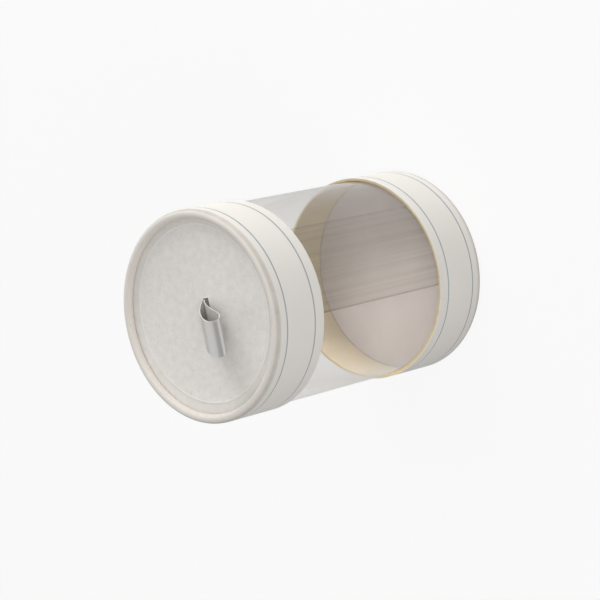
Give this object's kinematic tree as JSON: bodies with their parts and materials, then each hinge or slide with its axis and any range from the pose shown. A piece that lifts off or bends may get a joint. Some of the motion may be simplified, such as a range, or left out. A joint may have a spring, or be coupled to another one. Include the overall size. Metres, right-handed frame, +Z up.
{
  "type": "clear cylinder box",
  "caption": "Clear cylinder box: a rolled clear plastic tube between a paper base cap and a lift-off paper lid with rolled rims, with a pull strip looped through the lid.",
  "frame": {"origin": "centre of the base's rolled rim, on the surface that the box stands on", "axes": "+Z up along the axis of the tube, towards the lid; +X is the side that the pull strip's loop leans to"},
  "size_m": [0.1, 0.1, 0.1548],
  "materials": {
    "clear_sheet": "clear glossy sheet",
    "kraft_board": "bare wound kraft board",
    "white_wrap": "white wrapping paper with thin silver lines",
    "end_board": "off-white paper on board",
    "liner_board": "off-white lining on board",
    "cover_paper": "off-white smooth paper",
    "silver_strip": "satin silver coating on a white core"
  },
  "bodies": {
    "box": {"clear_tube": "clear_sheet", "base_wall": "kraft_board", "base_wrap": "white_wrap", "base_end_board": "end_board", "base_liner": "liner_board", "base_cover_disc": "cover_paper"},
    "lid": {"lid_wall": "kraft_board", "lid_wrap": "white_wrap", "lid_end_board": "end_board", "lid_liner": "liner_board", "lid_cover_disc": "cover_paper", "pull_strip": "silver_strip"}
  },
  "joints": [
    {"name": "lid_slide", "type": "slide", "parent": "box", "child": "lid", "axis": [0, 0, 1], "range_m": [0, 0.06]}
  ]
}
